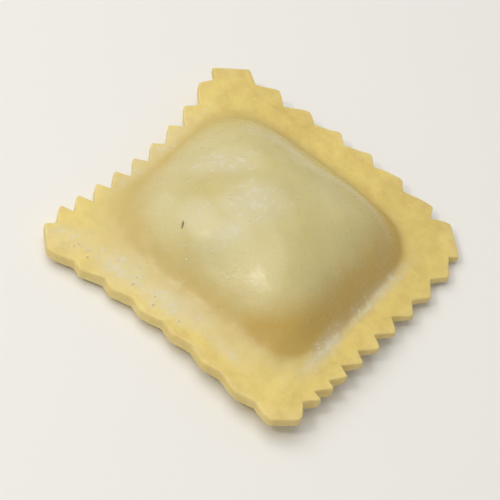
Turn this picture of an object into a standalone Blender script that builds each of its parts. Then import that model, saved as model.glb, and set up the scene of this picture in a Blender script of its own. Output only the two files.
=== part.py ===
"""One square raviolo of fresh filled pasta, lying on its flatter side.

Two sheets of dough are pressed together round a mound of filling, so the whole is one solid: a
domed cushion in the middle, a flat rim round it, and an edge cut by fluted wheels. A wheel that ran
along Y left small pointed teeth on the two X sides, and a wheel that ran along X left broader and
shallower ones on the two Y sides. The filling draws the sides in and lets the corners curl.

The origin lies on the flat patch that it rests on, below the middle of the square, with +Z up and the
sides along X and Y.
"""

import math

import bmesh
import bpy

# Driving dimensions, in metres. The square's corners, before they are snipped off, come in the order
# +X -Y, +X +Y, -X +Y, -X -Y, and each starts the side that faces +X, +Y, -X, -Y.
CORNERS = ((0.0229, -0.0240), (0.0248, 0.0250), (-0.0256, 0.0242), (-0.0256, -0.0240))
OUTWARD = ((1.0, 0.0), (0.0, 1.0), (-1.0, 0.0), (0.0, -1.0))
HALF = 0.0240  # half of a side's usual length
RIM_THICKNESS = 0.0019  # the two sheets together
CUT_THICKNESS = 0.0011  # the same at the cut, where the wheels pinch them
PINCH_WIDTH = 0.0040  # from the teeth's tips to where the rim has its full thickness
BELLY_DEPTH = 0.0014  # how far the flat patch lies below the rim

# The mound of filling, from the middle of its foot's square.
MOUND_HEIGHT = 0.0096  # above the rim
MOUND_X = (-0.0186, 0.0186)
MOUND_Y = (-0.0162, 0.0188)
PEAK = (0.0016, 0.0006)
CROWN_POWER = 2.7  # how broad the top is: more is flatter with steeper sides
FOOT_SOFTNESS = (0.0007, 0.0032)  # how gently the mound runs out: elsewhere and on the -Y side
FOOT_SQUARENESS = 4.4  # of the mound's outline, from 2 for an ellipse upwards
TOP_SQUARENESS = 2.2  # the same near its peak
BELLY_BULGE = 0.0020  # how deep the underside's bulge would be if nothing flattened it

# The cuts, side by side. Pairs are for a side's start and its end.
TEETH = (9, 6, 9, 6)  # whole teeth between the notches that lie next to the corners
TOOTH_DEPTH = ((0.0019, 0.0023), (0.0020, 0.0020), (0.0021, 0.0026), (0.0009, 0.0011))
TOOTH_UNEVENNESS = ((0.08, 2.4, 1.7), (0.06, 5.3, 1.0))  # waves: a share, per tooth and per side
TOOTH_LEAN = ((0.86, 0.44), (0.15, 0.45), (0.42, 0.15), (0.32, 0.52))  # a tip's place in its tooth
FIRST_NOTCH = (0.0054, 0.0079, 0.0052, 0.0088)  # from the side's start
LAST_NOTCH = (0.0048, 0.0081, 0.0051, 0.0060)  # from the side's end
PITCH_DRIFT = (0.43, -0.05, -0.28, 0.14)  # how much wider the teeth grow from a side's start to its end
SIDE_BOW = (-0.0010, -0.0017, 0.0034, 0.00165)  # how far the middle of a side is drawn in
BOW_POWER = (1.0, 1.0, 1.5, 2.0)  # how narrow that bow is
SIDE_SWAY = (-0.0003, 0.0008, -0.0009, -0.0016)  # and how much more in its second half
CORNER_CUT = (0.0026, 0.0044, 0.0055, 0.0054)  # what is missing from each corner, along its sides
CUT_BAND = 0.0032  # a band along the cut, deeper than the deepest notch
CORNER_BAND = 0.0036  # how far from a corner that band's rows are square to the side
TIP_LIFT = 0.00025  # how far the tips stand up
TIP_LIFT_BELOW = 0.00015  # the same on the underside
CORNER_CURL = {(1, -1): 0.0024, (1, 1): -0.0007, (-1, 1): 0.0030, (-1, -1): 0.0004}
CURL_NARROWNESS = 2.5  # how closely a corner's curl keeps to the corner
RIM_WAVE = 0.0003  # the rim's slow rise and fall between the corners
WAVE_X, WAVE_Y = (4.1, 0.8), (3.7, 2.0)  # that wave along X and Y: radians per half side, and its start

# Rows of points from the top of the mound to the middle of the underside, and columns round it.
MOUND_ROWS = 11
RIM_LEVELS = (0.5, 1.0, 1.5, 2.0)
BELLY_ROWS = 6
STEPS_PER_TOOTH = 4
STEPS_PER_CORNER = 2

DOUGH_COLOUR = (0.69, 0.56, 0.25, 1.0)
DOUGH_ROUGHNESS = 0.5
SHARP_ANGLE = math.radians(50.0)

SIDE_LENGTH = [
    max(abs(end - start) for start, end in zip(CORNERS[side], CORNERS[(side + 1) % 4]))
    for side in range(4)
]
RIM_MIDDLE = BELLY_DEPTH + RIM_THICKNESS / 2


def smooth(share):
    """A smooth step from 0 to 1 as share goes from 0 to 1."""
    share = min(1.0, max(0.0, share))
    return share * share * (3.0 - 2.0 * share)


def soft_max(height, softness):
    """The larger of height and 0, with the bend between them rounded off."""
    return (height + math.hypot(height, softness)) / 2.0


def along_side(pair, share):
    """A measure at a share of the way along a side, from its values at the side's start and end."""
    return pair[0] + (pair[1] - pair[0]) * min(1.0, max(0.0, share))


def column_places():
    """Each column's side, its place along it from 0 to 1, the phase of the cut, and its place along the
    mound's side from -1 to 1.

    A whole phase is a notch and a half one a tooth's tip. The corners are as far out as the tips,
    and end on their diagonals.
    """
    for side, teeth in enumerate(TEETH):
        length = SIDE_LENGTH[side]
        first, last = FIRST_NOTCH[side] / length, 1.0 - LAST_NOTCH[side] / length
        places, phases = [], []
        for step in range((teeth + 1) * STEPS_PER_TOOTH + 1):
            phase = step / STEPS_PER_TOOTH - 0.5
            lean = along_side(TOOTH_LEAN[side], phase / teeth) if 0.0 <= phase < teeth else 0.5
            part = phase % 1.0
            leaning = 2.0 * part * lean if part < 0.5 else lean + (2.0 * part - 1.0) * (1.0 - lean)
            share = (math.floor(phase) + leaning) / teeth
            share -= PITCH_DRIFT[side] * max(0.0, share * (1.0 - share))
            places.append(first + (last - first) * share)
            phases.append(phase)
        start = CORNER_CUT[side] / 2.0 / length
        end = 1.0 - CORNER_CUT[(side + 1) % 4] / 2.0 / length
        shares = [step / STEPS_PER_CORNER for step in range(STEPS_PER_CORNER)]
        before = [start + (places[0] - start) * share for share in shares]
        beyond = [places[-1] + (end - places[-1]) * share for share in shares[1:]]
        phases = [phases[0]] * len(before) + phases + [phases[-1]] * len(beyond)
        for place, phase in zip(before + places + beyond, phases):
            yield side, place, phase, (2.0 * place - start - end) / (end - start)


def notch_depth(side, phase):
    """How far the cut lies inside the line of the teeth's tips, no two notches quite alike."""
    uneven = sum(
        share * math.sin(per_tooth * phase + per_side * side)
        for share, per_tooth, per_side in TOOTH_UNEVENNESS
    )
    depth = along_side(TOOTH_DEPTH[side], phase / TEETH[side]) * (1.0 + uneven)
    return depth * abs(2.0 * (phase % 1.0) - 1.0)


def rim_point(side, place, inset, inwards):
    """A point of a line round the rim, an inset from the tips' line and a way inwards.

    An inset is square to the side, and inwards turns to the diagonal towards a corner. What lies
    beyond a corner's cut is pushed back onto it, square to the side.
    """
    hump = 4.0 * place * (1.0 - place)
    inset += SIDE_BOW[side] * hump ** BOW_POWER[side] + SIDE_SWAY[side] * hump * (2.0 * place - 1.0)
    after = (side + 1) % 4
    nearer = after if place > 0.5 else side
    diagonal = [math.copysign(1.0, measure) for measure in CORNERS[nearer]]
    from_corner = min(place, 1.0 - place) * SIDE_LENGTH[side] - CORNER_CUT[nearer] / 2.0
    square = min(1.0, max(0.0, from_corner / CORNER_BAND))
    point = []
    for axis, out in enumerate(OUTWARD[side]):
        start, end = CORNERS[side][axis], CORNERS[after][axis]
        way = square * out + (1.0 - square) * diagonal[axis] / math.sqrt(2.0)
        point.append(start + (end - start) * place - inset * out - inwards * way)
    beyond = CORNER_CUT[nearer] + math.sqrt(2.0) * inwards
    beyond += sum((at - corner) * sign for at, corner, sign in zip(point, CORNERS[nearer], diagonal))
    x, y = (at - max(0.0, beyond) * out for at, out in zip(point, OUTWARD[side]))
    return x, y


def mound_reach(x, y):
    """The mound's reach from its peak on the side of it where a point lies, along X and along Y."""
    return abs(MOUND_X[x > PEAK[0]] - PEAK[0]), abs(MOUND_Y[y > PEAK[1]] - PEAK[1])


def mound_point(side, along, share):
    """A point a share of the way from the peak to the mound's foot, which is a rounded square."""
    reach = share * (1.0 + abs(along) ** FOOT_SQUARENESS) ** (-1.0 / FOOT_SQUARENESS)
    out, run = reach, along * reach
    x, y = ((out, run), (-run, out), (-out, -run), (run, -out))[side]
    reach_x, reach_y = mound_reach(PEAK[0] + x, PEAK[1] + y)
    return PEAK[0] + x * reach_x, PEAK[1] + y * reach_y


def mound_share(x, y):
    """0 at the peak and 1 at the foot. The contours are round near the peak and squarer below."""
    reach_x, reach_y = mound_reach(x, y)
    u, v = abs(x - PEAK[0]) / reach_x, abs(y - PEAK[1]) / reach_y
    power = TOP_SQUARENESS + (FOOT_SQUARENESS - TOP_SQUARENESS) * smooth(math.hypot(u, v))
    return (u**power + v**power) ** (1.0 / power)


def bulge(x, y, height):
    """How far the filling pushes a sheet out of the rim's plane."""
    towards = smooth((PEAK[1] - y) / (PEAK[1] - MOUND_Y[0]))
    softness = FOOT_SOFTNESS[0] + (FOOT_SOFTNESS[1] - FOOT_SOFTNESS[0]) * towards
    return soft_max(height * (1.0 - mound_share(x, y) ** CROWN_POWER), softness)


def curl(x, y):
    """How far the rim stands above or below its plane."""
    u, v = x / HALF, y / HALF
    height = RIM_WAVE * math.sin(WAVE_X[0] * u + WAVE_X[1]) * v * v
    height += RIM_WAVE * math.sin(WAVE_Y[0] * v + WAVE_Y[1]) * u * u
    for (sign_x, sign_y), lift in CORNER_CURL.items():
        near = max(0.0, (1.0 + sign_x * u) * (1.0 + sign_y * v) / 4.0)
        height += lift * near**CURL_NARROWNESS
    return height


def mound_place(column, share):
    x, y = mound_point(column[0], column[-1], share)
    return x, y, BELLY_DEPTH + RIM_THICKNESS + curl(x, y) + bulge(x, y, MOUND_HEIGHT)


def belly_place(column, share):
    """A point of the underside, which what it lies on presses flat at height 0."""
    x, y = mound_point(column[0], column[-1], share)
    return x, y, max(0.0, BELLY_DEPTH + curl(x, y) - bulge(x, y, BELLY_BULGE))


def rim_place(column, level, above):
    """A point on the rim, at a level from 0 at the mound's foot to 1 at the band and 2 at the cut."""
    side, place, phase, along = column
    inner_x, inner_y = rim_point(side, place, 0.0, CUT_BAND)
    if level < 1.0:
        foot_x, foot_y = mound_point(side, along, 1.0)
        x, y = foot_x + level * (inner_x - foot_x), foot_y + level * (inner_y - foot_y)
        from_tips = CUT_BAND + math.hypot(inner_x - x, inner_y - y)
    else:
        inset = notch_depth(side, phase)
        cut_x, cut_y = rim_point(side, place, inset, 0.0)
        x, y = inner_x + (level - 1.0) * (cut_x - inner_x), inner_y + (level - 1.0) * (cut_y - inner_y)
        from_tips = CUT_BAND + (level - 1.0) * (inset - CUT_BAND)
    half = (CUT_THICKNESS + smooth(from_tips / PINCH_WIDTH) * (RIM_THICKNESS - CUT_THICKNESS)) / 2
    stand = smooth(1.0 - from_tips / CUT_BAND)
    if above:
        return x, y, RIM_MIDDLE + curl(x, y) + half + bulge(x, y, MOUND_HEIGHT) + TIP_LIFT * stand
    below = RIM_MIDDLE + curl(x, y) - half - bulge(x, y, BELLY_BULGE) + TIP_LIFT_BELOW * stand
    return x, y, max(0.0, below)


def rows():
    """The rows in order from the top: each is a function and what it takes after a column."""
    made = [(mound_place, (row / MOUND_ROWS,)) for row in range(MOUND_ROWS + 1)]
    made += [(rim_place, (level, True)) for level in RIM_LEVELS]
    made += [(rim_place, (level, False)) for level in reversed(RIM_LEVELS)]
    made += [(belly_place, (row / BELLY_ROWS,)) for row in range(BELLY_ROWS, -1, -1)]
    return made


def make_raviolo(collection):
    """A UV sphere whose columns run from the mound's top out to the cut and back below."""
    columns = list(column_places())
    levels = rows()
    mesh = bpy.data.meshes.new("ravioli")
    shape = bmesh.new()
    bmesh.ops.create_uvsphere(shape, u_segments=len(columns), v_segments=len(levels) - 1, radius=1.0)
    for vertex in shape.verts:
        x, y, z = vertex.co
        level = round(math.acos(max(-1.0, min(1.0, z))) / math.pi * (len(levels) - 1))
        column = round(math.atan2(y, x) / (2.0 * math.pi) * len(columns)) % len(columns)
        place_on, measures = levels[level]
        vertex.co = place_on(columns[column], *measures)
    bmesh.ops.recalc_face_normals(shape, faces=shape.faces)
    shape.to_mesh(mesh)
    shape.free()
    mesh.shade_smooth()
    mesh.set_sharp_from_angle(angle=SHARP_ANGLE)
    raviolo = bpy.data.objects.new("ravioli", mesh)
    collection.objects.link(raviolo)
    raviolo.data.materials.append(dough_material())
    return raviolo


def dough_material():
    """Raw egg dough: pale yellow, with a soft sheen."""
    material = bpy.data.materials.new("fresh_dough")
    material.use_nodes = True
    shader = material.node_tree.nodes["Principled BSDF"]
    shader.inputs["Base Color"].default_value = DOUGH_COLOUR
    shader.inputs["Roughness"].default_value = DOUGH_ROUGHNESS
    shader.inputs["Metallic"].default_value = 0.0
    return material


def main():
    for old in list(bpy.data.objects):
        bpy.data.objects.remove(old, do_unlink=True)
    collection = bpy.data.collections.new("ravioli")
    bpy.context.scene.collection.children.link(collection)
    make_raviolo(collection)


main()
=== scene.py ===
"""One square raviolo of fresh filled pasta, as a Blender add-on that builds it on its CAD frame."""

import math

import bpy
import numpy as np
from bpy.props import FloatProperty, FloatVectorProperty, IntProperty, PointerProperty
from mathutils import Matrix, Vector


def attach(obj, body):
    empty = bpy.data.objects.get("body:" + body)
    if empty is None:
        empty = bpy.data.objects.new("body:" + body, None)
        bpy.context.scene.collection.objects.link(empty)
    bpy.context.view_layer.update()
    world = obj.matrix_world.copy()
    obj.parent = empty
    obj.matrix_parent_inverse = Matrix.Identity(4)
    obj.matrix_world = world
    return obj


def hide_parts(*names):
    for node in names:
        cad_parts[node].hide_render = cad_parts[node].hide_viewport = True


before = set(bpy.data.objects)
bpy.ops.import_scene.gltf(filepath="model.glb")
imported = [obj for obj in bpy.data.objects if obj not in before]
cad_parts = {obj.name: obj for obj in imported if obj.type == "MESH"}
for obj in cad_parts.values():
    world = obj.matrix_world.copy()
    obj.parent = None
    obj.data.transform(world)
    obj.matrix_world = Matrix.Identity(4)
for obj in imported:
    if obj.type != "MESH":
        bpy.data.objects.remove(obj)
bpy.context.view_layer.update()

bl_info = {
    "name": "Fresh Raviolo",
    "version": (1, 0, 0),
    "blender": (4, 5, 0),
    "location": "View3D > Sidebar > Raviolo",
    "description": "Builds one raviolo of raw egg dough with fluted edges, floured, on a pale floor",
    "category": "Add Mesh",
}

MM = 0.001
TAU = 2.0 * math.pi
TINY = 1e-9  # keeps a share of the way off exactly 0

# The square and its mound, as the CAD solid has them.
CORNERS = np.array(((22.9, -24.0), (24.8, 25.0), (-25.6, 24.2), (-25.6, -24.0))) * MM
OUTWARD = np.array(((1, 0), (0, 1), (-1, 0), (0, -1)))  # the sides' directions, each from its corner on
SIDE_LENGTH = np.abs(np.roll(CORNERS, -1, axis=0) - CORNERS).max(axis=1)
HALF = 24.0 * MM
RIM_THICKNESS = 1.9 * MM
CUT_THICKNESS = 1.1 * MM
PINCH_WIDTH = 4.0 * MM  # from the tips' line to where the rim has its full thickness
DRY_WIDTH = 2.4 * MM  # from the tips' line to where the dough is as moist as elsewhere
BELLY_DEPTH = 1.4 * MM
MOUND_HEIGHT = 9.6 * MM
MOUND_X = (-18.6 * MM, 18.6 * MM)
MOUND_Y = (-16.2 * MM, 18.8 * MM)
PEAK = (1.6 * MM, 0.6 * MM)
CROWN_POWER = 2.7
FOOT_SOFTNESS = (0.7 * MM, 3.2 * MM)  # on the other sides and on the -Y side
BELLY_BULGE = 2.0 * MM
TOP_SQUARENESS = 2.2  # the power of the mound's level lines near the peak, where 2 is an ellipse
FOOT_SQUARENESS = 4.4  # the same at the foot, where the outline is nearer to a square
CORNER_CURL = {(1, -1): 2.4 * MM, (1, 1): -0.7 * MM, (-1, 1): 3.0 * MM, (-1, -1): 0.4 * MM}
CURL_NARROWNESS = 2.5
RIM_WAVE = 0.3 * MM
WAVE_X = (4.1, 0.8)  # a slow wave's pace and start along X
WAVE_Y = (3.7, 2.0)
RIM_MIDDLE = BELLY_DEPTH + RIM_THICKNESS / 2

# The cuts, in the order of the sides: +X, +Y, -X, -Y. Pairs are for a side's start and its end.
TEETH = (9, 6, 9, 6)
TOOTH_DEPTH = np.array(((1.9, 2.3), (2.0, 2.0), (2.1, 2.6), (0.9, 1.1))) * MM
TOOTH_LEAN = np.array(((0.86, 0.44), (0.15, 0.45), (0.42, 0.15), (0.32, 0.52)))
FIRST_NOTCH = np.array((5.4, 7.9, 5.2, 8.8)) * MM
LAST_NOTCH = np.array((4.8, 8.1, 5.1, 6.0)) * MM
PITCH_DRIFT = (0.43, -0.05, -0.28, 0.14)
SIDE_BOW = np.array((-1.0, -1.7, 3.4, 1.65)) * MM
BOW_POWER = np.array((1.0, 1.0, 1.5, 2.0))
SIDE_SWAY = np.array((-0.3, 0.8, -0.9, -1.6)) * MM
CORNER_CUT = np.array((2.6, 4.4, 5.5, 5.4)) * MM
CUT_BAND = 3.2 * MM  # a band along the cut, deeper than the deepest notch
CORNER_BAND = 3.6 * MM  # how far from a corner that band's rows are square to the side
TOOTH_UNEVENNESS = ((0.08, 2.4, 1.7), (0.06, 5.3, 1.0))  # share of the depth, pace along, step a side
TIP_LIFT = 0.25 * MM  # how far the cut teeth stand up
LIFT_BELOW = 0.6  # the underside's share of that
RAGGEDNESS = 0.06 * MM  # how far the cut strays
RAGGED_LENGTH = 1.4 * MM
TIP_ROUNDING = 0.12  # of a tooth: how far a tip and a notch are from a sharp point
CUT_SWELL = 0.28 * MM  # how far the cut's wall stands out in its middle
SWELL_ROUNDNESS = 0.8  # the power of the sine that shapes it
WALL_SQUARENESS = 0.85  # the power of the cosine that spaces its rows
GROOVE_DEPTH = 0.12 * MM  # where the two sheets meet
GROOVE_WIDTH = 0.22  # as an angle of the turn round the wall

# Rows of points besides the mound's: out over the rim, through the band along the cut, round the
# wall, back below through each of the same two, and in over the belly.
RIM_ROWS, BAND_ROWS, WALL_ROWS, UNDER_ROWS, BELLY_ROWS = 14, 12, 9, 7, 24
ROW_CROWDING = 0.9  # a power below 1 puts the mound's rows closer together towards the foot

# Unevenness in layers, each with its length, share and seed.
FILLING_LUMPS = ((11.0 * MM, 1.0, 5), (4.5 * MM, 0.45, 6))
RIM_WRINKLES = ((5.0 * MM, 1.0, 7), (2.0 * MM, 0.35, 8))
WRINKLE_SHARE = 0.55  # how strong the wrinkles are beside the lumps
LUMPS_END, LUMPS_FADE = 1.08, 0.35  # as shares of the way from the peak to the foot
SEEDS = {"cut": 9, "underside": 12, "places": 21, "crumbs": 22}

# The masks. Where a share has two values, the second is added in full towards -Y.
SOUTH_LEAN, SOUTH_RAMP = 0.25, (0.0, 14.0 * MM)  # a ramp has a start and a length
NORTH_LEAN, NORTH_RAMP = 0.4, (-2.0 * MM, 20.0 * MM)
RIM_START, RIM_FADE = (0.94, -0.12), (0.16, 0.34)
# Painted shade: a band along the mound's foot (the crease) and the flank towards +X, darker where the light
# falls less. A faint painted warm reflection lies on the rim towards +Y.
CREASE_PLACE, CREASE_WIDTH, CREASE_STRENGTH = (1.01, -0.05), (0.06, 0.06), (0.42, 0.15)
CREASE_EAST_RAMP = (-10.0 * MM, 8.0 * MM)
FLANK_EAST_RAMP, FLANK_TOP_RAMP, FLANK_FOOT_RAMP = (5.0 * MM, 10.0 * MM), (0.55, 0.35), (-1.05, 0.1)
FLANK_STRENGTH, RIM_WARM_REFLECTION = 0.92, 0.15
FLOUR_BELOW, FLOUR_BELOW_SPREAD, FLOUR_BELOW_LENGTH = 0.35, 0.25, 9.0 * MM

# Crumbs of semolina and one fleck of pepper.
CRUMB_ROUGHNESS = 0.22  # how far each corner of a cube strays, beside half its diagonal
CRUMB_FLATTENING = 0.45
CRUMB_RISE = 0.12  # of the size, from the surface to the crumb's middle
CRUMB_SPREAD = 0.75  # of a flour patch's half length and half width
CRUMB_MARGIN = 3.4 * MM  # left clear along the cut
SMALLEST_CRUMB, CRUMB_SKEW = 0.25, 1.6
SLOPE_STEP = 0.05 * MM
FLECK_PLACE = (-7.6 * MM, -10.5 * MM)
FLECK_SIZE = (0.60 * MM, 0.15 * MM, 0.08 * MM)  # half the length, the width and the thickness
FLECK_TURN, FLECK_SLOPE = math.radians(118.0), math.radians(33.0)
FLECK_RISE = 0.02 * MM
FLECK_LOBES = (0.18, 3.0, 1.0)  # how deep, how many and where the first is
FLECK_COLUMNS, FLECK_ROWS = 16, 9

# The stage. A light has its way from the piece, its distance, its side, its power and its colour.
LIGHTS = (
    ("Key Softbox", (-0.36, -0.14, 0.92), 0.62, 0.60, 2.65, (1.0, 0.98, 0.93)),
    ("Glint Softbox", (-0.29, -0.54, 0.79), 0.62, 0.06, 0.42, (1.0, 0.98, 0.95)),
    ("Fill Softbox", (0.35, 0.80, 0.50), 0.80, 0.60, 0.16, (1.0, 0.93, 0.78)),
)
ROOM_COLOUR, ROOM_LIGHT = (1.0, 0.985, 0.96, 1.0), 0.35
FLOOR_REACH = 1.5
AIM_RIGHT, AIM_UP = -0.66 * MM, -0.88 * MM  # from the middle to where the camera looks
CLIP_NEAR, CLIP_FAR = 0.01, 10.0

BRAN_COLOUR = (0.32, 0.20, 0.07)
PEPPER_COLOURS = ((0.20, 0.15, 0.06), (0.36, 0.29, 0.13))
FLOOR_CLOUD = (0.80, 0.79, 0.76)

# Where flour lies on the upper side: middle X and Y, half length and width, turn in degrees, strength.
FLOUR_PATCHES = (
    (-1.6 * MM, -1.5 * MM, 5.0 * MM, 4.0 * MM, 60.0, 1.00),
    (-10.0 * MM, 2.5 * MM, 5.5 * MM, 3.5 * MM, 40.0, 0.80),
    (-1.6 * MM, -7.5 * MM, 4.5 * MM, 2.6 * MM, 70.0, 0.75),
    (-7.0 * MM, -8.0 * MM, 3.6 * MM, 3.2 * MM, 0.0, 0.60),
    (-12.5 * MM, -9.0 * MM, 4.0 * MM, 3.5 * MM, 0.0, 0.40),
    (4.0 * MM, 8.0 * MM, 6.0 * MM, 4.0 * MM, 30.0, 0.30),
    (19.0 * MM, 4.5 * MM, 11.0 * MM, 1.2 * MM, 89.0, 0.85),
    (18.9 * MM, -8.5 * MM, 6.5 * MM, 1.4 * MM, 93.0, 1.00),
    (-19.5 * MM, -19.5 * MM, 5.0 * MM, 2.6 * MM, 20.0, 0.60),
    (-11.0 * MM, -19.0 * MM, 6.0 * MM, 2.4 * MM, 0.0, 0.90),
    (-2.0 * MM, -18.8 * MM, 7.0 * MM, 2.0 * MM, 3.0, 1.00),
    (8.0 * MM, -19.3 * MM, 6.0 * MM, 1.6 * MM, -6.0, 0.55),
    (-20.5 * MM, 2.0 * MM, 14.0 * MM, 1.8 * MM, 88.0, 0.60),
)


# ---------------------------------------------------------------------------------------------
# Settings


class RavioloDough(bpy.types.PropertyGroup):
    """The dough's colours and surface."""

    steps_per_tooth: IntProperty(
        name="Steps per Tooth", description="Columns of points in each tooth of the cut", default=16, min=4
    )
    mound_rows: IntProperty(
        name="Mound Rows", description="Rows of points from the peak to the foot of the mound", default=66, min=8
    )
    dome_colour: FloatVectorProperty(
        name="Dome", description="Dough stretched over the filling", subtype="COLOR", default=(0.68, 0.60, 0.29)
    )
    shade_colour: FloatVectorProperty(
        name="Dome Mottling", description="Where the filling shows through", subtype="COLOR",
        default=(0.64, 0.555, 0.25),
    )
    rim_colour: FloatVectorProperty(
        name="Rim", description="The two sheets pressed together", subtype="COLOR", default=(0.84, 0.675, 0.22)
    )
    # The colour of the painted shade and painted warm reflection, which the random warm tint also leans to.
    shade_and_tint_colour: FloatVectorProperty(
        name="Painted Shade and Tint", description="At the mound's foot and on its flank", subtype="COLOR",
        default=(0.59, 0.41, 0.11),
    )
    cut_colour: FloatVectorProperty(
        name="Cut", description="The dry cut edge and the tips of the teeth", subtype="COLOR",
        default=(0.84, 0.69, 0.31),
    )
    unevenness: FloatProperty(
        name="Unevenness", description="How far the filling's lumps raise the dough", unit="LENGTH",
        default=0.22 * MM, min=0.0,
    )


class RavioloFlour(bpy.types.PropertyGroup):
    """The flour left from rolling."""

    colour: FloatVectorProperty(
        name="Flour", description="Dry flour on the dough", subtype="COLOR", default=(0.76, 0.71, 0.54)
    )
    grain_colour: FloatVectorProperty(
        name="Semolina", description="Coarse grains", subtype="COLOR", default=(0.78, 0.73, 0.54)
    )
    grains: IntProperty(name="Grains", description="How many coarse grains lie on the piece", default=170, min=0)
    grain_size: FloatProperty(
        name="Grain Size", description="A large grain's length", unit="LENGTH", default=0.42 * MM, min=0.05 * MM
    )


class RavioloStage(bpy.types.PropertyGroup):
    """The floor, the lights and the camera."""

    azimuth: FloatProperty(
        name="Azimuth", description="Round from the -Y side", subtype="ANGLE", default=math.radians(19.2)
    )
    elevation: FloatProperty(
        name="Elevation", description="Above the floor", subtype="ANGLE", default=math.radians(52.4)
    )
    roll: FloatProperty(
        name="Roll", description="The camera's turn about its own axis", subtype="ANGLE",
        default=math.radians(21.4),
    )
    distance: FloatProperty(
        name="Distance", description="From the camera to the middle", unit="LENGTH", default=0.30
    )
    width: FloatProperty(
        name="View Width", description="What the frame takes in at the middle", unit="LENGTH", default=74.6 * MM
    )
    floor_colour: FloatVectorProperty(
        name="Floor", description="Plain and pale", subtype="COLOR", default=(0.90, 0.89, 0.87)
    )


# ---------------------------------------------------------------------------------------------
# Shape


def smooth(share):
    """A smooth step from 0 to 1 as share goes from 0 to 1: 3s² - 2s³, held at both ends."""
    share = np.clip(share, 0.0, 1.0)
    return share * share * (3.0 - 2.0 * share)


def ramp(value, start, length):
    """A smooth step that begins at start and is 1 a length further on."""
    return smooth((value - start) / length)


def rotated(u, v, angle):
    """Two coordinates of points, turned by an angle from the first towards the second."""
    return u * np.cos(angle) - v * np.sin(angle), u * np.sin(angle) + v * np.cos(angle)


def soft_max(height, softness):
    """The larger of height and 0, with the bend rounded: half of h plus the root of h² + softness²."""
    return (height + np.hypot(height, softness)) / 2.0


def ripples(x, y, length, seed, waves=18):
    """Smooth unevenness of about -1 to 1: sine waves of about one length, each its own way and phase.

    A wave's way is drawn in space, and the points lie in a level plane across it.
    """
    draw = np.random.default_rng(seed)
    total = np.zeros_like(x)
    for _ in range(waves):
        way = draw.normal(size=3)
        way *= TAU / (np.linalg.norm(way) * length * draw.uniform(0.7, 1.5))
        total += np.sin(way[0] * x + way[1] * y + draw.uniform(0.0, TAU))
    return total / math.sqrt(2.0 * waves)


def layered(x, y, layers):
    """The sum of some layers of ripples, each by its share."""
    return sum(share * ripples(x, y, length, seed) for length, share, seed in layers)


def turned(side, out, along):
    """A point that lies out from the middle and along the side, turned to that side's place."""
    x = np.choose(side, (out, -along, -out, along))
    y = np.choose(side, (along, out, -along, -out))
    return x, y


def along_side(pair, side, share):
    """A measure at a share of the way along a side, from its values at the side's start and end."""
    return pair[side, 0] + (pair[side, 1] - pair[side, 0]) * share


def column_places(steps):
    """Arrays of each column's side, place along it, phase of the cut, and place along the mound's side.

    A whole phase is a notch and a half one a tooth's tip. Between the corner notches the phase grows
    by one a tooth. A tip lies at the tooth's lean between its notches, and the pitch drifts by a
    parabola along the side. The corners are as far out as the tips, and end on their diagonals, where
    the place along the mound's side is -1 or 1.
    """
    sides, places, phases, alongs = [], [], [], []
    for side, teeth in enumerate(TEETH):
        phase = np.arange((teeth + 1) * steps + 1) / steps - 0.5
        lean = along_side(TOOTH_LEAN, side, phase / teeth)
        lean[(phase < 0.0) | (phase >= teeth)] = 0.5
        part = phase % 1.0
        leaning = np.where(part < 0.5, 2.0 * part * lean, lean + (2.0 * part - 1.0) * (1.0 - lean))
        share = (np.floor(phase) + leaning) / teeth
        share -= PITCH_DRIFT[side] * np.maximum(0.0, share * (1.0 - share))
        length = SIDE_LENGTH[side]
        first, last = FIRST_NOTCH[side] / length, 1.0 - LAST_NOTCH[side] / length
        place = first + (last - first) * share
        start, end = CORNER_CUT[side] / 2.0 / length, 1.0 - CORNER_CUT[(side + 1) % 4] / 2.0 / length
        corner = np.arange(steps // 2) / (steps // 2)
        ends = start + corner * (place[0] - start), (place[-1] + (end - place[-1]) * corner)[1:]
        places += [ends[0], place, ends[1]]
        phases += [0.0 * ends[0] - 0.5, phase, 0.0 * ends[1] + teeth + 0.5]
        alongs += [(2.0 * part - start - end) / (end - start) for part in places[-3:]]
        sides.append(np.full(sum(map(len, places[-3:])), side))
    return tuple(np.concatenate(each) for each in (sides, places, phases, alongs))


def notch(phase):
    """A zigzag from 0 at a tooth's tip to 1 in a notch, its points a little rounded."""
    zigzag = np.hypot(2.0 * (phase % 1.0) - 1.0, TIP_ROUNDING) - TIP_ROUNDING
    blunt = 1.0 - np.hypot(1.0 - zigzag, TIP_ROUNDING) + TIP_ROUNDING
    return np.clip(blunt, 0.0, 1.0)


def tooth_depth(side, phase):
    """How deep the notches are cut at a place, no two quite alike."""
    uneven = 1.0
    for share, pace, step in TOOTH_UNEVENNESS:
        uneven = uneven + share * np.sin(pace * phase + step * side)
    return uneven * along_side(TOOTH_DEPTH, side, np.clip(phase / np.array(TEETH)[side], 0.0, 1.0))


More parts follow.
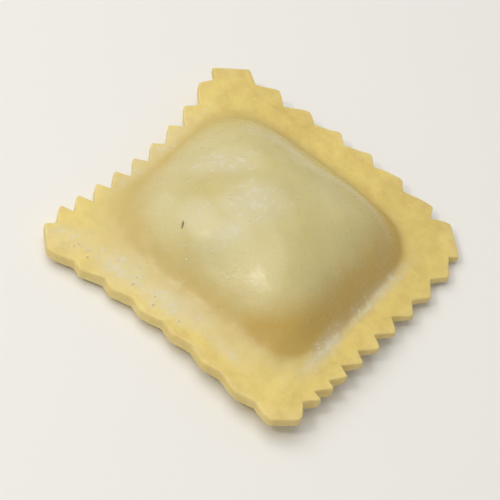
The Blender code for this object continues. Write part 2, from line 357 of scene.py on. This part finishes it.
def rim_line(side, place, inset, inwards):
    """Points of a line round the rim, as X and Y: an inset from the tips' line, and a way inwards.

    The tips' line runs from corner to corner, bowed and swayed. An inset is square to the side, and
    inwards turns to the diagonal towards a corner. What lies beyond a corner's cut is pushed back
    onto it, square to the side.
    """
    hump = 4.0 * place * (1.0 - place)
    drawn_in = SIDE_BOW[side] * hump ** BOW_POWER[side] + SIDE_SWAY[side] * hump * (2.0 * place - 1.0)
    nearer = (side + (place > 0.5)) % 4
    diagonal = np.sign(CORNERS[nearer])
    from_corner = np.minimum(place, 1.0 - place) * SIDE_LENGTH[side] - CORNER_CUT[nearer] / 2.0
    square = np.clip(from_corner / CORNER_BAND, 0.0, 1.0)[:, None]
    way = square * OUTWARD[side] + (1.0 - square) * diagonal / math.sqrt(2.0)
    points = CORNERS[side] + (CORNERS[(side + 1) % 4] - CORNERS[side]) * place[:, None]
    points = points - (drawn_in + inset)[:, None] * OUTWARD[side] - inwards * way
    beyond = ((points - CORNERS[nearer]) * diagonal).sum(1) + CORNER_CUT[nearer] + math.sqrt(2.0) * inwards
    points -= np.maximum(0.0, beyond)[:, None] * OUTWARD[side]
    return points.T


def mound_reach(x, y):
    """The mound's reach from its peak, along X and along Y, on the side of it where a point lies."""
    return (
        np.where(x > PEAK[0], MOUND_X[1] - PEAK[0], PEAK[0] - MOUND_X[0]),
        np.where(y > PEAK[1], MOUND_Y[1] - PEAK[1], PEAK[1] - MOUND_Y[0]),
    )


def mound_point(side, along, share):
    """Points a share of the way from the peak to the foot, which is a superellipse about the peak."""
    rounding = (1.0 + np.abs(along) ** FOOT_SQUARENESS) ** (-1.0 / FOOT_SQUARENESS)
    x, y = turned(side, share * rounding, along * share * rounding)
    reach_x, reach_y = mound_reach(PEAK[0] + x, PEAK[1] + y)
    return PEAK[0] + x * reach_x, PEAK[1] + y * reach_y


def mound_share(x, y):
    """0 at the peak and 1 at the foot: a superellipse norm whose power grows outwards."""
    reach_x, reach_y = mound_reach(x, y)
    u, v = np.abs(x - PEAK[0]) / reach_x + TINY, np.abs(y - PEAK[1]) / reach_y + TINY
    power = TOP_SQUARENESS + (FOOT_SQUARENESS - TOP_SQUARENESS) * smooth(np.hypot(u, v))
    return (u**power + v**power) ** (1.0 / power)


def bulge(x, y, height):
    """How far the filling pushes a sheet out: height times 1 less the share to the crown's power."""
    towards = smooth((PEAK[1] - y) / (PEAK[1] - MOUND_Y[0]))
    softness = FOOT_SOFTNESS[0] + (FOOT_SOFTNESS[1] - FOOT_SOFTNESS[0]) * towards
    return soft_max(height * (1.0 - mound_share(x, y) ** CROWN_POWER), softness)


def curl(x, y):
    """How far the rim leaves its plane: two slow sine waves, and each corner's lift by its nearness."""
    u, v = x / HALF, y / HALF
    wave_x = np.sin(WAVE_X[0] * u + WAVE_X[1]) * v * v
    wave_y = np.sin(WAVE_Y[0] * v + WAVE_Y[1]) * u * u
    height = RIM_WAVE * (wave_x + wave_y)
    for (sign_x, sign_y), lift in CORNER_CURL.items():
        near = np.maximum(0.0, (1.0 + sign_x * u) * (1.0 + sign_y * v) / 4.0)
        height = height + lift * near**CURL_NARROWNESS
    return height


def upper_height(x, y, unevenness):
    """The upper side over a point: the rim's top, the curl and the mound, with lumps and wrinkles."""
    inside = smooth((LUMPS_END - mound_share(x, y)) / LUMPS_FADE)
    lumps, wrinkles = layered(x, y, FILLING_LUMPS), layered(x, y, RIM_WRINKLES)
    return (
        BELLY_DEPTH + RIM_THICKNESS + curl(x, y) + bulge(x, y, MOUND_HEIGHT)
        + unevenness * (inside * lumps + WRINKLE_SHARE * (1.0 - inside) * wrinkles)
    )


def dough_surface(steps, mound_rows, unevenness):
    """The whole skin as rows of points from the peak, over the rim and the cut, to the underside's middle.

    Returns x, y, z and the masks, each of rows by columns. Across the rim the points run straight
    from the mound's foot to a band along the cut, and straight on through that band. The cut is a
    rounded wall: a superellipse of half the thickness with a shallow groove in its middle, where the
    two sheets meet.
    """
    side, place, phase, along = column_places(steps)
    foot_x, foot_y = mound_point(side, along, 1.0)
    inset = tooth_depth(side, phase) * notch(phase)
    inner_x, inner_y = rim_line(side, place, 0.0 * inset, CUT_BAND)
    cut_x, cut_y = rim_line(side, place, inset, 0.0)
    inset = np.maximum(0.0, inset + RAGGEDNESS * ripples(cut_x, cut_y, RAGGED_LENGTH, SEEDS["cut"]))
    cut_x, cut_y = rim_line(side, place, inset, 0.0)
    width = np.hypot(inner_x - foot_x, inner_y - foot_y)

    def rim_rows(levels, above):
        """Rows at levels from 0 at the foot to 1 at the band and 2 at the cut."""
        inner, outer = np.minimum(1.0, levels[:, None]), np.maximum(0.0, levels[:, None] - 1.0)
        x = foot_x + inner * (inner_x - foot_x) + outer * (cut_x - inner_x)
        y = foot_y + inner * (inner_y - foot_y) + outer * (cut_y - inner_y)
        from_tips = (1.0 - inner) * width + CUT_BAND + outer * (inset - CUT_BAND)
        half = (CUT_THICKNESS + smooth(from_tips / PINCH_WIDTH) * (RIM_THICKNESS - CUT_THICKNESS)) / 2
        stand = TIP_LIFT * smooth(1.0 - from_tips / CUT_BAND)
        if above:
            z = upper_height(x, y, unevenness) + half - RIM_THICKNESS / 2 + stand
        else:
            z = np.maximum(0.0, RIM_MIDDLE + curl(x, y) - half - bulge(x, y, BELLY_BULGE) + LIFT_BELOW * stand)
        return x, y, z, from_tips

    x, y = mound_point(side, along, np.linspace(0.0, 1.0, mound_rows + 1)[:, None] ** ROW_CROWDING)
    mound = (x, y, upper_height(x, y, unevenness), 0.0 * x + PINCH_WIDTH)
    outwards = np.linspace(0.0, 1.0, RIM_ROWS + 1)[1:], np.linspace(1.0, 2.0, BAND_ROWS + 1)[1:]
    back = np.linspace(2.0, 1.0, UNDER_ROWS + 1)[:-1], np.linspace(1.0, 0.0, UNDER_ROWS + 1)
    rim, rim_under = rim_rows(np.concatenate(outwards), True), rim_rows(np.concatenate(back), False)

    turn = np.linspace(0.0, math.pi, WALL_ROWS + 2)[1:-1, None]
    middle, half = (rim[2][-1] + rim_under[2][0]) / 2, (rim[2][-1] - rim_under[2][0]) / 2
    swell = CUT_SWELL * np.sin(turn) ** SWELL_ROUNDNESS
    swell -= GROOVE_DEPTH * np.exp(-(((turn - math.pi / 2) / GROOVE_WIDTH) ** 2))
    swell = swell / np.hypot(cut_x - inner_x, cut_y - inner_y)
    wall = (
        cut_x + swell * (cut_x - inner_x),
        cut_y + swell * (cut_y - inner_y),
        middle + half * np.sign(np.cos(turn)) * np.abs(np.cos(turn)) ** WALL_SQUARENESS,
        0.0 * turn * cut_x,
    )
    x, y = mound_point(side, along, np.linspace(1.0, 0.0, BELLY_ROWS + 1)[1:, None])
    flat = BELLY_DEPTH + curl(x, y) - bulge(x, y, BELLY_BULGE)
    belly = (x, y, np.maximum(0.0, flat), 0.0 * x + PINCH_WIDTH)
    parts = (mound, rim, wall, rim_under, belly)
    x, y, z, from_tips = (np.concatenate([part[i] for part in parts]) for i in range(4))
    under = np.concatenate([np.full(part[0].shape, float(i >= 3)) for i, part in enumerate(parts)])
    return x, y, z, surface_masks(x, y, from_tips, under)


def surface_masks(x, y, from_tips, under):
    """Each from 0 to 1: the rim, painted shade and warm reflection, the cut edge, flour and the underside.

    The rim sets in sharply, but softly towards -Y, where the mound runs out. Painted shade is a line
    along the mound's foot, broader there too, and the flank towards +X; a faint painted warm
    reflection lies on the rim towards +Y.
    """
    share = mound_share(x, y)
    south = ramp(-(y + SOUTH_LEAN * x), *SOUTH_RAMP)
    pairs = RIM_START, RIM_FADE, CREASE_PLACE, CREASE_WIDTH
    rim_start, rim_fade, crease_place, crease_width = (base + added * south for base, added in pairs)
    rim = ramp(share, rim_start, rim_fade)
    # The crease and the flank are painted shade; the rim's share towards +Y is a painted warm reflection.
    crease = np.exp(-(((share - crease_place) / crease_width) ** 2))
    crease *= CREASE_STRENGTH[0] + CREASE_STRENGTH[1] * south * ramp(x, *CREASE_EAST_RAMP)
    flank = ramp(x, *FLANK_EAST_RAMP) * ramp(share, *FLANK_TOP_RAMP) * ramp(-share, *FLANK_FOOT_RAMP)
    painted_shade_and_tint = crease + FLANK_STRENGTH * flank + RIM_WARM_REFLECTION * rim * ramp(y + NORTH_LEAN * x, *NORTH_RAMP)
    flour = np.zeros_like(x)
    for middle_x, middle_y, length, breadth, turn, strength in FLOUR_PATCHES:
        u, v = rotated(x - middle_x, y - middle_y, -math.radians(turn))
        flour = np.maximum(flour, strength * np.exp(-((u / length) ** 2 + (v / breadth) ** 2)))
    below = FLOUR_BELOW + FLOUR_BELOW_SPREAD * ripples(x, y, FLOUR_BELOW_LENGTH, SEEDS["underside"])
    return {
        "rim": rim,
        "painted_shade_and_tint": np.clip(painted_shade_and_tint, 0.0, 1.0) * (1.0 - under),
        "cut_edge": smooth(1.0 - from_tips / DRY_WIDTH) * rim,
        "flour": np.clip(np.where(under > 0.5, below, flour), 0.0, 1.0),
        "underside": under,
    }


def closed_mesh(name, x, y, z, masks):
    """A mesh from rows of points that close round, whose first and last rows are single points.

    Each quad joins two rows and two columns, and a fan of triangles closes each end. The masks
    become float attributes on the points.
    """
    rows, columns = x.shape

    def points(values):
        return np.concatenate((values[:1, 0], values[1:-1].ravel(), values[-1:, 0]))

    ring = np.arange(columns)
    after = (ring + 1) % columns
    first = 1 + np.arange(rows - 3)[:, None] * columns
    quads = np.stack((first + ring, first + columns + ring, first + columns + after, first + after), -1)
    end = 1 + (rows - 2) * columns
    start_fan = np.stack((0 * ring, 1 + ring, 1 + after), -1)
    last = end - columns
    end_fan = np.stack((last + ring, 0 * ring + end, last + after), -1)
    faces = quads.reshape(-1, 4).tolist() + start_fan.tolist() + end_fan.tolist()
    mesh = bpy.data.meshes.new(name)
    mesh.from_pydata(np.stack((points(x), points(y), points(z)), -1), [], faces)
    for mask, values in masks.items():
        layer = mesh.attributes.new(mask, "FLOAT", "POINT")
        layer.data.foreach_set("value", points(values).astype(np.float32))
    mesh.shade_smooth()
    return mesh


def scattered_mesh(name, middles, normals, sizes, seed):
    """Small grains as one mesh: each a cube's eight corners pushed to a rough, rounded crumb.

    A grain is turned at random, scaled to its size, flattened along the surface's normal and sunk
    about a quarter of its height into the dough.
    """
    draw = np.random.default_rng(seed)
    count = len(middles)
    cube = np.array([(i, j, k) for i in (-1, 1) for j in (-1, 1) for k in (-1, 1)]) / math.sqrt(3.0)
    faces = np.array(((0, 1, 3, 2), (4, 6, 7, 5), (0, 4, 5, 1), (2, 3, 7, 6), (0, 2, 6, 4), (1, 5, 7, 3)))
    corners = cube + draw.uniform(-CRUMB_ROUGHNESS, CRUMB_ROUGHNESS, (count, 8, 3))
    turns = np.linalg.qr(draw.normal(size=(count, 3, 3)))[0]
    turns *= np.sign(np.linalg.det(turns))[:, None, None]
    corners = np.einsum("nij,nkj->nki", turns, corners) * sizes[:, None, None] / 2.0
    height = np.einsum("nki,ni->nk", corners, normals)
    corners -= CRUMB_FLATTENING * height[..., None] * normals[:, None, :]
    raised = middles + normals * (CRUMB_RISE * sizes)[:, None]
    placed = raised[:, None, :] + corners
    every = faces[None] + 8 * np.arange(count)[:, None, None]
    mesh = bpy.data.meshes.new(name)
    mesh.from_pydata(placed.reshape(-1, 3), [], every.reshape(-1, 4).tolist())
    return mesh


# ---------------------------------------------------------------------------------------------
# Materials


def add_node(tree, kind, inputs=None, **settings):
    """A node with its settings, whose named inputs take a value or, from a socket, a link."""
    node = tree.nodes.new(kind)
    for name, value in settings.items():
        setattr(node, name, value)
    for name, value in (inputs or {}).items():
        if isinstance(value, bpy.types.NodeSocket):
            tree.links.new(value, node.inputs[name])
        else:
            node.inputs[name].default_value = value
    return node


def math_node(tree, operation, first, second=0.0, clamp=False):
    """The result of a sum, a product and the like of two values."""
    return add_node(
        tree, "ShaderNodeMath", {0: first, 1: second}, operation=operation, use_clamp=clamp
    ).outputs[0]


def mixed(tree, factor, first, second, blend="MIX"):
    """One colour mixed with another by a factor."""
    node = add_node(tree, "ShaderNodeMix", data_type="RGBA", blend_type=blend)
    for index, value in ((0, factor), (6, first), (7, second)):
        if isinstance(value, bpy.types.NodeSocket):
            tree.links.new(value, node.inputs[index])
        elif index:
            node.inputs[index].default_value = (*value, 1.0)
        else:
            node.inputs[index].default_value = value
    return node.outputs[2]


def banded(tree, value, low, high, low_to=0.0, high_to=1.0):
    """A value's span from low to high, stretched smoothly to a new span."""
    return add_node(
        tree, "ShaderNodeMapRange",
        {"Value": value, "From Min": low, "From Max": high, "To Min": low_to, "To Max": high_to},
        interpolation_type="SMOOTHSTEP",
    ).outputs["Result"]


def noise(tree, where, scale, detail=3.0, roughness=0.5):
    """Noise of about 0 to 1, whose scale is in cells a metre."""
    return add_node(
        tree, "ShaderNodeTexNoise",
        {"Vector": where, "Scale": scale, "Detail": detail, "Roughness": roughness},
    ).outputs["Fac"]


def new_group(name, inputs, outputs):
    """A shader group with its sockets: inputs as name, kind and default, outputs as name and kind."""
    tree = bpy.data.node_groups.new(name, "ShaderNodeTree")
    for label, kind, value in inputs:
        socket = tree.interface.new_socket(label, in_out="INPUT", socket_type=kind)
        if value is not None:
            socket.default_value = value
    for label, kind in outputs:
        tree.interface.new_socket(label, in_out="OUTPUT", socket_type=kind)
    return tree, tree.nodes.new("NodeGroupInput").outputs, tree.nodes.new("NodeGroupOutput").inputs


def flour_group():
    """Flour dust: soft clouds broken by fine speckle, denser where the coverage is higher."""
    tree, given, made = new_group(
        "Flour Dust",
        (("Vector", "NodeSocketVector", None), ("Coverage", "NodeSocketFloat", 0.0)),
        (("Mask", "NodeSocketFloat"), ("Height", "NodeSocketFloat")),
    )
    speckle = noise(tree, given["Vector"], 800.0, 5.0, 0.75)
    reach = math_node(tree, "ADD", speckle, math_node(tree, "MULTIPLY", given["Coverage"], 0.24))
    haze = math_node(tree, "MULTIPLY", given["Coverage"], 0.62)
    mask = math_node(tree, "MAXIMUM", banded(tree, reach, 0.58, 0.80), haze)
    mask = math_node(tree, "MULTIPLY", mask, banded(tree, given["Coverage"], 0.02, 0.45))
    tree.links.new(mask, made["Mask"])
    tree.links.new(math_node(tree, "MULTIPLY", mask, speckle), made["Height"])
    return tree


def grain_group():
    """Fine grain of rolled dough: faint pores and the board's print."""
    tree, given, made = new_group(
        "Dough Grain",
        (("Vector", "NodeSocketVector", None), ("Scale", "NodeSocketFloat", 1.0)),
        (("Height", "NodeSocketFloat"), ("Mottle", "NodeSocketFloat")),
    )
    stretched = add_node(
        tree, "ShaderNodeVectorMath", {0: given["Vector"], 3: given["Scale"]}, operation="SCALE"
    ).outputs[0]
    fine = noise(tree, stretched, 1500.0, 3.0, 0.6)
    broad = noise(tree, stretched, 330.0, 3.0, 0.5)
    tree.links.new(math_node(tree, "ADD", fine, math_node(tree, "MULTIPLY", broad, 1.5)), made["Height"])
    tree.links.new(banded(tree, noise(tree, stretched, 130.0, 4.0, 0.55), 0.38, 0.64), made["Mottle"])
    return tree


def speck_group():
    """Sparse tiny specks of bran: the middles of a few cells of a Voronoi pattern."""
    tree, given, made = new_group(
        "Bran Specks",
        (("Vector", "NodeSocketVector", None), ("Scale", "NodeSocketFloat", 300.0)),
        (("Mask", "NodeSocketFloat"),),
    )
    cells = add_node(
        tree, "ShaderNodeTexVoronoi", {"Vector": given["Vector"], "Scale": given["Scale"]}, feature="F1"
    )
    chosen = add_node(tree, "ShaderNodeSeparateColor", {"Color": cells.outputs["Color"]}).outputs[0]
    size = banded(tree, chosen, 0.86, 1.0, 0.0, 0.11)
    away = math_node(tree, "SUBTRACT", size, cells.outputs["Distance"])
    tree.links.new(banded(tree, away, -0.01, 0.05), made["Mask"])
    return tree


def new_material(name):
    """A material with its node tree and its Principled BSDF."""
    material = bpy.data.materials.new(name)
    material.use_nodes = True
    tree = material.node_tree
    return material, tree, tree.nodes["Principled BSDF"]


def grouped(tree, group, inputs):
    """The outputs of a shader group, used with its inputs."""
    return add_node(tree, "ShaderNodeGroup", inputs, node_tree=group).outputs


def attribute(tree, name):
    """One of the mesh's masks."""
    return add_node(tree, "ShaderNodeAttribute", attribute_name=name).outputs["Fac"]


def dough_material(look, flour, groups):
    """Raw egg dough: dome, rim and cut in their own colours, mottled and floured, with painted shade at
    the mound's foot and on its +X flank and a painted warm reflection on the rim towards +Y.
    """
    material, tree, shader = new_material("Raw Egg Dough")
    where = add_node(tree, "ShaderNodeTexCoord").outputs["Object"]
    grain = grouped(tree, groups["grain"], {"Vector": where, "Scale": 1.0})
    dust = grouped(tree, groups["flour"], {"Vector": where, "Coverage": attribute(tree, "flour")})
    specks = grouped(tree, groups["specks"], {"Vector": where, "Scale": 260.0})
    colour = mixed(tree, grain["Mottle"], look.shade_colour, look.dome_colour)
    colour = mixed(tree, attribute(tree, "rim"), colour, look.rim_colour)
    dry = math_node(tree, "MULTIPLY", attribute(tree, "cut_edge"), 0.6)
    colour = mixed(tree, dry, colour, look.cut_colour)
    tint = banded(tree, noise(tree, where, 110.0, 2.0, 0.5), 0.40, 0.68, 0.0, 0.18)
    blotch = banded(tree, noise(tree, where, 520.0, 3.0, 0.6), 0.38, 0.66, 0.0, 0.22)
    tint = math_node(tree, "ADD", tint, math_node(tree, "MULTIPLY", blotch, attribute(tree, "rim")))
    # Painted shade along the mound's foot and on the +X flank, with a painted warm reflection on the rim towards
    # +Y, plus the random warm tint.
    painted_shade_and_tint = math_node(tree, "ADD", attribute(tree, "painted_shade_and_tint"), tint, clamp=True)
    colour = mixed(tree, painted_shade_and_tint, colour, look.shade_and_tint_colour)
    colour = mixed(tree, math_node(tree, "MULTIPLY", specks["Mask"], 0.25), colour, BRAN_COLOUR)
    colour = mixed(tree, math_node(tree, "MULTIPLY", dust["Mask"], 0.75), colour, flour.colour)
    tree.links.new(colour, shader.inputs["Base Color"])
    rough = banded(tree, noise(tree, where, 500.0, 3.0, 0.6), 0.35, 0.65, 0.26, 0.34)
    rough = math_node(tree, "ADD", rough, math_node(tree, "MULTIPLY", attribute(tree, "rim"), 0.26))
    rough = math_node(tree, "ADD", rough, math_node(tree, "MULTIPLY", dust["Mask"], 0.35), clamp=True)
    tree.links.new(rough, shader.inputs["Roughness"])
    coarse = banded(tree, attribute(tree, "rim"), 0.0, 1.0, 0.7, 1.6)
    height = math_node(tree, "MULTIPLY_ADD", dust["Height"], 1.2)
    tree.links.new(math_node(tree, "MULTIPLY", grain["Height"], coarse), height.node.inputs[2])
    bump = add_node(tree, "ShaderNodeBump", {"Height": height, "Strength": 0.6, "Distance": 0.06 * MM})
    tree.links.new(bump.outputs["Normal"], shader.inputs["Normal"])
    bare = math_node(tree, "SUBTRACT", 1.0, math_node(tree, "MAXIMUM", attribute(tree, "rim"), dust["Mask"]))
    tree.links.new(math_node(tree, "MULTIPLY", bare, 0.05), shader.inputs["Coat Weight"])
    shader.inputs["Coat Roughness"].default_value = 0.2
    shader.inputs["Subsurface Weight"].default_value = 0.25
    shader.inputs["Subsurface Radius"].default_value = (1.0, 0.62, 0.25)
    shader.inputs["Subsurface Scale"].default_value = 1.6 * MM
    shader.inputs["Specular IOR Level"].default_value = 0.5
    return material


def grain_material(flour):
    """Semolina: dull pale grains, each a little lighter or yellower than the next."""
    material, tree, shader = new_material("Semolina")
    where = add_node(tree, "ShaderNodeTexCoord").outputs["Object"]
    lightness = banded(tree, noise(tree, where, 700.0, 2.0), 0.35, 0.65)
    colour = mixed(tree, lightness, flour.grain_colour, flour.colour)
    tree.links.new(colour, shader.inputs["Base Color"])
    rough = banded(tree, noise(tree, where, 2500.0, 2.0), 0.3, 0.7, 0.62, 0.85)
    tree.links.new(rough, shader.inputs["Roughness"])
    return material


def fleck_material():
    """A dark fleck of pepper, brown to nearly black, with a grain of its own."""
    material, tree, shader = new_material("Pepper Fleck")
    where = add_node(tree, "ShaderNodeTexCoord").outputs["Object"]
    blend = banded(tree, noise(tree, where, 3500.0, 3.0), 0.35, 0.65)
    tree.links.new(mixed(tree, blend, *PEPPER_COLOURS), shader.inputs["Base Color"])
    tree.links.new(banded(tree, blend, 0.0, 1.0, 0.5, 0.7), shader.inputs["Roughness"])
    return material


def floor_material(stage):
    """A plain matt floor, with only the faintest unevenness."""
    material, tree, shader = new_material("Pale Floor")
    where = add_node(tree, "ShaderNodeTexCoord").outputs["Object"]
    shade = banded(tree, noise(tree, where, 14.0, 3.0), 0.3, 0.7, 0.0, 0.04)
    tree.links.new(mixed(tree, shade, stage.floor_colour, FLOOR_CLOUD), shader.inputs["Base Color"])
    shader.inputs["Roughness"].default_value = 0.85
    return material


# ---------------------------------------------------------------------------------------------
# Operators


def place_piece(name, mesh, material):
    """Links a finished mesh as a piece of the raviolo, riding on its one body."""
    mesh.materials.append(material)
    piece = bpy.data.objects.new(name, mesh)
    bpy.context.scene.collection.objects.link(piece)
    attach(piece, "root")
    return piece


class RAVIOLO_OT_dough(bpy.types.Operator):
    """Build the dough: the domed, fluted skin that stands for the CAD solid"""

    bl_idname = "raviolo.dough"
    bl_label = "Build Dough"

    def execute(self, context):
        look, flour = context.scene.raviolo_dough, context.scene.raviolo_flour
        x, y, z, masks = dough_surface(look.steps_per_tooth, look.mound_rows, look.unevenness)
        groups = {"flour": flour_group(), "grain": grain_group(), "specks": speck_group()}
        mesh = closed_mesh("ravioli_dough", x, y, z, masks)
        piece = place_piece("ravioli_dough", mesh, dough_material(look, flour, groups))
        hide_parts("ravioli")
        return {"FINISHED"}


class RAVIOLO_OT_flour(bpy.types.Operator):
    """Scatter coarse grains of semolina over the floured places"""

    bl_idname = "raviolo.flour"
    bl_label = "Scatter Semolina"

    def execute(self, context):
        look, flour = context.scene.raviolo_dough, context.scene.raviolo_flour
        draw = np.random.default_rng(SEEDS["places"])
        middle_x, middle_y, length, breadth, turn, strength = np.array(FLOUR_PATCHES).T
        weight = strength * length * breadth
        chosen = draw.choice(len(FLOUR_PATCHES), flour.grains, p=weight / weight.sum())
        spread = draw.normal(size=(flour.grains, 2)) * CRUMB_SPREAD
        u, v = spread[:, 0] * length[chosen], spread[:, 1] * breadth[chosen]
        u, v = rotated(u, v, np.radians(turn[chosen]))
        x, y = middle_x[chosen] + u, middle_y[chosen] + v
        kept = np.maximum(np.abs(x), np.abs(y)) < HALF - CRUMB_MARGIN
        x, y = x[kept], y[kept]
        z = upper_height(x, y, look.unevenness)
        normals = np.stack((
            (z - upper_height(x + SLOPE_STEP, y, look.unevenness)) / SLOPE_STEP,
            (z - upper_height(x, y + SLOPE_STEP, look.unevenness)) / SLOPE_STEP,
            np.ones_like(x),
        ), -1)
        normals /= np.linalg.norm(normals, axis=1, keepdims=True)
        sizes = flour.grain_size * draw.uniform(SMALLEST_CRUMB, 1.0, len(x)) ** CRUMB_SKEW
        middles = np.stack((x, y, z), -1)
        mesh = scattered_mesh("semolina_grains", middles, normals, sizes, SEEDS["crumbs"])
        place_piece("semolina_grains", mesh, grain_material(flour))
        return {"FINISHED"}


class RAVIOLO_OT_fleck(bpy.types.Operator):
    """Press one dark fleck into the dome"""

    bl_idname = "raviolo.fleck"
    bl_label = "Add Fleck"

    def execute(self, context):
        look = context.scene.raviolo_dough
        x, y = np.array(FLECK_PLACE)[:, None]
        z = upper_height(x, y, look.unevenness)
        turn, lift = np.meshgrid(
            np.linspace(0.0, TAU, FLECK_COLUMNS + 1)[:-1], np.linspace(0.0, math.pi, FLECK_ROWS)
        )
        depth, lobes, first = FLECK_LOBES
        wobble = 1.0 + depth * np.sin(lobes * turn + first) * np.sin(lift)
        length, breadth, thickness = FLECK_SIZE
        u = length * np.sin(lift) * np.cos(turn) * wobble
        v = breadth * np.sin(lift) * np.sin(turn)
        w = thickness * np.cos(lift)
        u, v = rotated(u, v, FLECK_TURN)
        v, w = rotated(v, w, FLECK_SLOPE)
        mesh = closed_mesh("pepper_fleck", x + u, y + v, z + w + FLECK_RISE, {})
        place_piece("pepper_fleck", mesh, fleck_material())
        return {"FINISHED"}


class RAVIOLO_OT_stage(bpy.types.Operator):
    """Lay the floor, light it softly and place the camera"""

    bl_idname = "raviolo.stage"
    bl_label = "Set Stage"

    def execute(self, context):
        stage = context.scene.raviolo_stage
        context.scene.view_settings.view_transform = "Standard"
        self.lay_floor(context, stage)
        middle = Vector((0.0, 0.0, RIM_MIDDLE))
        for name, *settings in LIGHTS:
            self.light(context, name, middle, *settings)
        world = bpy.data.worlds.new("Soft Room")
        context.scene.world = world
        world.use_nodes = True
        world.node_tree.nodes["Background"].inputs["Color"].default_value = ROOM_COLOUR
        world.node_tree.nodes["Background"].inputs["Strength"].default_value = ROOM_LIGHT
        self.place_camera(context, stage, middle)
        return {"FINISHED"}

    @staticmethod
    def lay_floor(context, stage):
        """A flat square a good deal wider than the piece, at the height that it rests on."""
        mesh = bpy.data.meshes.new("floor")
        corners = [(x * FLOOR_REACH, y * FLOOR_REACH, 0.0) for x, y in ((-1, -1), (1, -1), (1, 1), (-1, 1))]
        mesh.from_pydata(corners, [], [(0, 1, 2, 3)])
        mesh.materials.append(floor_material(stage))
        floor = bpy.data.objects.new("floor", mesh)
        context.scene.collection.objects.link(floor)

    @staticmethod
    def light(context, name, aim, way, distance, size, power, colour):
        """A square area light that faces the piece from a distance along a way."""
        data = bpy.data.lights.new(name, "AREA")
        data.size = size
        data.energy = power
        data.color = colour
        lamp = bpy.data.objects.new(name, data)
        way = Vector(way).normalized()
        lamp.location = aim + way * distance
        lamp.rotation_mode = "QUATERNION"
        lamp.rotation_quaternion = way.to_track_quat("Z", "Y")
        context.scene.collection.objects.link(lamp)

    @staticmethod
    def place_camera(context, stage, middle):
        """A long lens that looks at the piece from its azimuth and elevation, turned by the roll."""
        a, e, roll = stage.azimuth, stage.elevation, stage.roll
        back = Vector((math.sin(a) * math.cos(e), -math.cos(a) * math.cos(e), math.sin(e)))
        right = Vector((math.cos(a), math.sin(a), 0.0))
        turned_right = Matrix.Rotation(roll, 3, back) @ right
        up = back.cross(turned_right)
        aim = middle + AIM_RIGHT * turned_right + AIM_UP * up
        data = bpy.data.cameras.new("Camera")
        data.lens = data.sensor_width * stage.distance / stage.width
        data.clip_start, data.clip_end = CLIP_NEAR, CLIP_FAR
        camera = bpy.data.objects.new("Camera", data)
        camera.matrix_world = Matrix.Translation(aim + back * stage.distance) @ Matrix(
            (turned_right, up, back)
        ).transposed().to_4x4()
        context.scene.collection.objects.link(camera)
        context.scene.camera = camera


class RAVIOLO_PT_panel(bpy.types.Panel):
    """Lists the pieces in the order in which they are built"""

    bl_label = "Fresh Raviolo"
    bl_idname = "RAVIOLO_PT_panel"
    bl_space_type = "VIEW_3D"
    bl_region_type = "UI"
    bl_category = "Raviolo"

    def draw(self, context):
        scene = context.scene
        for title, group, operators in (
            ("Dough", scene.raviolo_dough, ("raviolo.dough", "raviolo.fleck")),
            ("Flour", scene.raviolo_flour, ("raviolo.flour",)),
            ("Stage", scene.raviolo_stage, ("raviolo.stage",)),
        ):
            box = self.layout.box()
            box.label(text=title)
            for setting in group.bl_rna.properties:
                if setting.identifier not in ("rna_type", "name"):
                    box.prop(group, setting.identifier)
            for operator in operators:
                box.operator(operator)


CLASSES = (
    RavioloDough,
    RavioloFlour,
    RavioloStage,
    RAVIOLO_OT_dough,
    RAVIOLO_OT_flour,
    RAVIOLO_OT_fleck,
    RAVIOLO_OT_stage,
    RAVIOLO_PT_panel,
)


def register():
    for each in CLASSES:
        bpy.utils.register_class(each)
    bpy.types.Scene.raviolo_dough = PointerProperty(type=RavioloDough)
    bpy.types.Scene.raviolo_flour = PointerProperty(type=RavioloFlour)
    bpy.types.Scene.raviolo_stage = PointerProperty(type=RavioloStage)


def unregister():
    del bpy.types.Scene.raviolo_stage
    del bpy.types.Scene.raviolo_flour
    del bpy.types.Scene.raviolo_dough
    for each in reversed(CLASSES):
        bpy.utils.unregister_class(each)


def main():
    register()
    bpy.ops.raviolo.dough()
    bpy.ops.raviolo.flour()
    bpy.ops.raviolo.fleck()
    bpy.ops.raviolo.stage()


if __name__ == "__main__":
    main()
